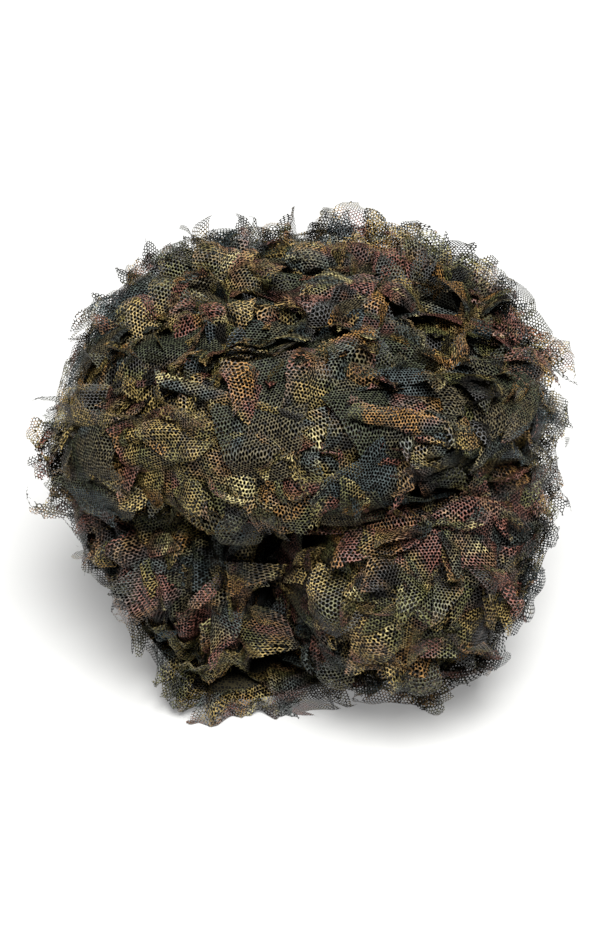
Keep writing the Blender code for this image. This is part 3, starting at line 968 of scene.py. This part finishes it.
# %% Joining leaves into pieces
MOST_FACES = 90000  # four-sided ones, in a piece
print("leaves:", sum(map(len, leaves.values())) + len(rim_leaves))


def cloth_object(name, pieces, material):
    """One mesh object from several leaves, with their print in a UV map."""
    points = np.concatenate([piece[0] for piece in pieces])
    on_print = np.concatenate([piece[2] for piece in pieces])
    first = np.cumsum([0] + [len(piece[0]) for piece in pieces[:-1]])
    faces = np.concatenate([piece[1] + start for piece, start in zip(pieces, first)])
    used, faces = np.unique(faces, return_inverse=True)
    faces = faces.reshape(-1, 4)
    points, on_print = points[used], on_print[used]
    data = bpy.data.meshes.new(name)
    data.vertices.add(len(points))
    data.vertices.foreach_set("co", points.ravel())
    data.loops.add(faces.size)
    data.loops.foreach_set("vertex_index", faces.ravel())
    data.polygons.add(len(faces))
    data.polygons.foreach_set("loop_start", np.arange(0, faces.size, 4))
    data.polygons.foreach_set("loop_total", np.full(len(faces), 4))
    data.update(calc_edges=True)
    data.validate()
    data.shade_smooth()
    uv = data.uv_layers.new(name="OFBake")
    uv.uv.foreach_set("vector", on_print[faces.ravel()].ravel())
    data.materials.append(material)
    made = bpy.data.objects.new(name, data)
    bpy.context.scene.collection.objects.link(made)
    area = sum(piece[3] for piece in pieces)
    print(name, "faces:", len(faces), "flat area:", round(area, 3))
    return made, area


# %% [markdown]
# ## The print
#
# The cloth is printed in a woodland mottle: khaki and olive grounds with slate, maroon,
# ochre and dark brown blotches that run into each other, because the ink spreads in the
# knitted strands. The blotches are 18 to 50 mm across. They come from noise that reads the
# cloth's own flat places, so they are cut and bent with each leaf. A printer lays one ink
# over another, and so do the nodes: each ink covers the last where its own noise is high.

# %% The woodland mottle
NOISE_SHARE = 0.5  # of a blotch's size, to scale the noise that makes it
INK_SHIFT = (3.7, 1.9, 2.3)  # from one ink's place in the noise to the next one's


def add_node(material, kind, settings=None, links=None, values=None):
    """A new node, with its settings, the outputs that feed it and its inputs' values."""
    node = material.node_tree.nodes.new(kind)
    for name, value in (settings or {}).items():
        setattr(node, name, value)
    for name, value in (values or {}).items():
        node.inputs[name].default_value = value
    for name, source in (links or {}).items():
        material.node_tree.links.new(source, node.inputs[name])
    return node


def blotches(material, place, offset, size, low, high):
    """A mask of soft blotches: 1 inside them and 0 outside."""
    moved = add_node(material, "ShaderNodeMapping", links={"Vector": place},
                     values={"Location": offset})
    spots_noise = add_node(material, "ShaderNodeTexNoise", {"noise_dimensions": "3D"},
                           {"Vector": moved.outputs["Vector"]},
                           {"Scale": NOISE_SHARE / size, "Detail": 2.0, "Roughness": 0.6,
                            "Distortion": 0.6})
    mask = add_node(material, "ShaderNodeMapRange", {"clamp": True},
                    {"Value": spots_noise.outputs["Fac"]},
                    {"From Min": low, "From Max": high})
    return mask.outputs["Result"]


def woodland(material, place, inks, unit):
    """The mottle's colour: a base ink and blotches of others over it, unit metres to one."""
    colour = None
    for number, (code, size, low, high) in enumerate(inks[1:]):
        offset = [number * shift for shift in INK_SHIFT]
        links = {"Factor": blotches(material, place, offset, size / unit, low, high)}
        values = {"B": to_linear(code)}
        if colour is None:
            values["A"] = to_linear(inks[0][0])
        else:
            links["A"] = colour
        mix = add_node(material, "ShaderNodeMix", {"data_type": "RGBA"}, links, values)
        colour = mix.outputs["Result"]
    return colour


print("from one ink to the next:", INK_SHIFT)

# %% [markdown]
# ## The mesh
#
# Knitted mesh of this kind has six-sided holes in staggered rows. Three waves at a third of a
# turn to each other add up to peaks in just such rows, and where their sum is high the cloth
# is open. What is left between the holes is the strands, whose threads are raised round each
# hole. The eye looks straight through a hole, but light passes it only in small part, which
# paints shade on the layers under the leaves.
#
# The threads in a strand are about 0.2 mm thick, which is too fine to show from here. So
# their light and dark streaks are drawn coarser, 1.4 mm wide and 3.5 mm long. They are the
# threads' own tone and also painted glints and painted shade, from nearly black to nearly
# three times the print's colour.

# %% Knitted mesh
PITCH = 0.0027  # from the middle of one hole to the next, on the laid cloth
STRAND = 0.00062  # a strand's width at its narrowest
STRAND_RISE = 0.00023  # how far its middle stands above its sides
RELIEF = 0.8
TUFT = 0.0014  # the width of the knitted threads' light and dark streaks
TUFT_SHARE = 0.4  # their width, as a share of their length
STREAK_NOISE = (0.34, 0.68)  # the noise's values where a streak is darkest and lightest
STREAK_TONE_AND_GLINT = (0.06, 2.9)  # and how much of the print's colour shows there: the threads' tone, with painted shade at the dark end and painted glints at the light end
HOLE_LIGHT_SHARE = 0.03  # of the light, what passes a hole; the eye sees through in full: painted shade under it
SHEEN = 0.4  # polyester thread shines a little


def hole_waves(material, place):
    """The sum of three waves at a third of a turn to each other, high in the holes."""
    turns = 4 * math.pi / (math.sqrt(3) * PITCH) * PRINT_SIZE
    total = None
    for number in range(3):
        angle = 2 * math.pi * number / 3
        phase = add_node(material, "ShaderNodeVectorMath", {"operation": "DOT_PRODUCT"},
                         {0: place},
                         {1: (turns * math.cos(angle), turns * math.sin(angle), 0.0)})
        wave = add_node(material, "ShaderNodeMath", {"operation": "COSINE"},
                        {0: phase.outputs["Value"]})
        if total is None:
            total = wave.outputs["Value"]
            continue
        both = add_node(material, "ShaderNodeMath", {"operation": "ADD"},
                        {0: total, 1: wave.outputs["Value"]})
        total = both.outputs["Value"]
    return total


def streaked_with_glints(material, place, inks):
    """The print's colour, with light and dark streaks: the threads' tone, painted glints and
    shade.
    """
    along = add_node(material, "ShaderNodeMapping", None, {"Vector": place},
                     {"Scale": (TUFT_SHARE, 1.0, 1.0)})
    threads = add_node(material, "ShaderNodeTexNoise", {"noise_dimensions": "2D"},
                       {"Vector": along.outputs["Vector"]},
                       {"Scale": PRINT_SIZE / TUFT, "Detail": 0.0})
    # Light streaks are painted glints and dark ones painted shade, over the threads' own tone.
    shade = add_node(material, "ShaderNodeMapRange", {"clamp": True},
                     {"Value": threads.outputs["Fac"]},
                     {"From Min": STREAK_NOISE[0], "From Max": STREAK_NOISE[1],
                      "To Min": STREAK_TONE_AND_GLINT[0], "To Max": STREAK_TONE_AND_GLINT[1]})
    colour = add_node(material, "ShaderNodeVectorMath", {"operation": "SCALE"},
                      {0: woodland(material, place, inks, PRINT_SIZE),
                       "Scale": shade.outputs["Result"]})
    return colour.outputs["Vector"]


def mesh_cloth(name, inks, roughness, strand=STRAND):
    """Knitted polyester mesh with a print, see-through where its holes are, but light mostly
    not: painted shade.
    """
    material = bpy.data.materials.new(name)
    material.use_nodes = True
    place = add_node(material, "ShaderNodeUVMap", {"uv_map": "OFBake"}).outputs["UV"]
    total = hole_waves(material, place)
    edge = 1 - 2 * math.cos(math.pi * strand / PITCH)  # the sum at a strand's two sides
    solid = add_node(material, "ShaderNodeMath", {"operation": "LESS_THAN"}, {0: total},
                     {1: edge})
    colour = streaked_with_glints(material, place, inks)
    shader = material.node_tree.nodes["Principled BSDF"]
    material.node_tree.links.new(colour, shader.inputs["Base Color"])
    shader.inputs["Roughness"].default_value = roughness
    shader.inputs["Specular IOR Level"].default_value = SHEEN
    raised = add_node(material, "ShaderNodeBump", {"invert": True}, {"Height": total},
                      {"Strength": RELIEF, "Distance": STRAND_RISE})
    material.node_tree.links.new(raised.outputs["Normal"], shader.inputs["Normal"])
    # The eye sees through a hole in full, light only in small part: painted shade on what lies
    # under.
    rays_kind = add_node(material, "ShaderNodeLightPath")
    passed = add_node(material, "ShaderNodeMapRange", {"clamp": True},
                      {"Value": rays_kind.outputs["Is Camera Ray"]},
                      {"To Min": HOLE_LIGHT_SHARE, "To Max": 1.0})
    hole = add_node(material, "ShaderNodeBsdfTransparent", None,
                    {"Color": passed.outputs["Result"]})
    either = add_node(material, "ShaderNodeMixShader", None,
                      {0: solid.outputs["Value"], 1: hole.outputs["BSDF"],
                       2: shader.outputs["BSDF"]})
    end = material.node_tree.nodes["Material Output"]
    material.node_tree.links.new(either.outputs["Shader"], end.inputs["Surface"])
    print(name, "inks:", len(inks), "nodes:", len(material.node_tree.nodes))
    return material


# %% [markdown]
# An ink has its colour, then how large its blotches are and the two values of the noise
# between which it fades in. The first ink is the ground that the others are printed on.

# %% The print's inks
LEAF_INKS = (
    ("#675833",),
    ("#3f3e24", 0.034, 0.46, 0.57),
    ("#313633", 0.040, 0.51, 0.60),
    ("#51342c", 0.038, 0.50, 0.60),
    ("#654a27", 0.030, 0.56, 0.66),
    ("#12100d", 0.026, 0.53, 0.62),
    ("#7e7550", 0.018, 0.62, 0.72),
)
# Polyester mesh, warp-knitted, then printed and heat-set: earthy colours, each strand streaked
# light and dark along its threads, partly its own tone and partly painted glints and painted
# shade, with a faint shine where it is bent to the light.
leaf_cloth = mesh_cloth("printed_polyester_leaf_mesh", LEAF_INKS, 0.45)

# Darker inks for the leaves at the rim: painted shade.
RIM_SHADE_INKS = (
    ("#2b2a1b",),
    ("#171d1e", 0.036, 0.45, 0.54),
    ("#423b25", 0.030, 0.58, 0.66),
    ("#0d0e0b", 0.030, 0.54, 0.62),
)
TIP_STRAND = 0.00074
# The same knitted mesh in darker inks, nearly black and olive: painted shade for the leaves at
# the rim, where the bundle turns away. Its strands close up when they are seen aslant, so they
# are drawn wider.
rim_shade_cloth = mesh_cloth("printed_polyester_rim_shade_mesh", RIM_SHADE_INKS, 0.45, TIP_STRAND)

# Duller inks, darker in part as painted shade of the deepest layer.
GROUND_INKS_AND_SHADE = (
    ("#3a3424",),
    ("#2a2d20", 0.044, 0.46, 0.56),
    ("#2b3232", 0.050, 0.53, 0.60),
    ("#38241e", 0.046, 0.57, 0.63),
)
# The ground net's mesh, knitted the same and printed in duller inks: it looks matt and dark,
# partly its print and partly painted shade, because it lies deepest under the leaves.
ground_cloth = mesh_cloth("printed_polyester_ground_mesh", GROUND_INKS_AND_SHADE, 0.6)

# %% The cloth's pieces
leaf_pieces = []  # with each piece's flat area
sorted_leaves = [leaf for size in leaves if size != "ply" for leaf in leaves[size]]
sorted_leaves.sort(key=lambda leaf: -leaf[0][:, 2].mean())
total_faces = sum(len(leaf[1]) for leaf in sorted_leaves)
group_count = math.ceil(total_faces / MOST_FACES)
groups, held = [[] for _ in range(group_count)], 0
for leaf in sorted_leaves:
    groups[held * group_count // total_faces].append(leaf)
    held += len(leaf[1])
for number, group in enumerate(groups):
    leaf_pieces.append(cloth_object(f"leaf_rows_{number + 1}", group, leaf_cloth))
leaf_pieces.append(cloth_object("leaf_tips", rim_leaves, rim_shade_cloth))
ground_sheet, ground_area = cloth_object("ground_sheet", leaves["ply"], ground_cloth)
print("pieces of cloth:", len(leaf_pieces) + 1)

# %% [markdown]
# ## The plies of the ground net
#
# Inside, the ground net lies in many gathered plies, which show only as a dark ground through
# the holes and between the leaves: their colour is painted shade over a dull print. They are
# one closed core, a little inside the ground net's solid, because no ply of them is seen by
# itself.

# %% The gathered plies
PLY_DEPTH = 0.006
plies_mesh = ground_mesh.copy()
plies = bpy.data.objects.new("ground_plies", plies_mesh)
bpy.context.scene.collection.objects.link(plies)
shape = bmesh.new()
shape.from_mesh(plies_mesh)
inward = [vertex.normal * -PLY_DEPTH for vertex in shape.verts]
for vertex, move in zip(shape.verts, inward):
    vertex.co += move
    vertex.co.z = max(vertex.co.z, 0.0)
shape.to_mesh(plies_mesh)
shape.free()
plies_mesh.materials.clear()
print("plies:", len(plies_mesh.polygons), "faces")

# %% Their cloth
PLY_INKS_AND_SHADE = (
    ("#4a432c",),
    ("#2c2f20", 0.040, 0.46, 0.56),
    ("#2b3130", 0.046, 0.53, 0.60),
    ("#3c2822", 0.046, 0.57, 0.63),
)
# The gaps between the strands: near black, painted shade.
PLY_GAP_SHADE = "#060605"
PLY_STRAND = 0.16  # half a strand's width, as a share of the distance between holes
PLY_EDGE = 0.6  # of that, where a strand starts to darken into a hole
PLY_UNEVEN = 0.6  # how far the holes of many plies lie out of their rows
# Knitted, printed mesh, packed in many plies, with no shine: its dull strands and near-black
# gaps are painted shade, for the light that is lost between the plies.
packed = bpy.data.materials.new("printed_polyester_packed_plies")
packed.use_nodes = True
packed_place = add_node(packed, "ShaderNodeTexCoord").outputs["Object"]
packed_holes = add_node(packed, "ShaderNodeTexVoronoi", {"feature": "DISTANCE_TO_EDGE"},
                        {"Vector": packed_place},
                        {"Scale": 1 / PITCH, "Randomness": PLY_UNEVEN})
packed_strands = add_node(packed, "ShaderNodeMapRange", {"clamp": True},
                          {"Value": packed_holes.outputs["Distance"]},
                          {"From Min": PLY_STRAND * PLY_EDGE, "From Max": PLY_STRAND})
packed_print = add_node(packed, "ShaderNodeMix", {"data_type": "RGBA"},
                        {"Factor": packed_strands.outputs["Result"],
                         "A": woodland(packed, packed_place, PLY_INKS_AND_SHADE, 1.0)},
                        {"B": to_linear(PLY_GAP_SHADE)})
packed_shader = packed.node_tree.nodes["Principled BSDF"]
packed.node_tree.links.new(packed_print.outputs["Result"], packed_shader.inputs["Base Color"])
packed_shader.inputs["Roughness"].default_value = 0.9
plies_mesh.materials.append(packed)
print(packed.name, "inks:", len(PLY_INKS_AND_SHADE), "nodes:", len(packed.node_tree.nodes))

# %% [markdown]
# ## The body that the pieces ride on
#
# Every piece rides on the one body, and the solids that the pieces dress are hidden.

# %% Rides on the body
for piece, area in leaf_pieces:
    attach(piece, BODY)
    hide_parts("leaf_cloth")
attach(ground_sheet, BODY)
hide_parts("ground_net")
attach(plies, BODY)
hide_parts("ground_net")
print("named pieces:", len(leaf_pieces) + 2)
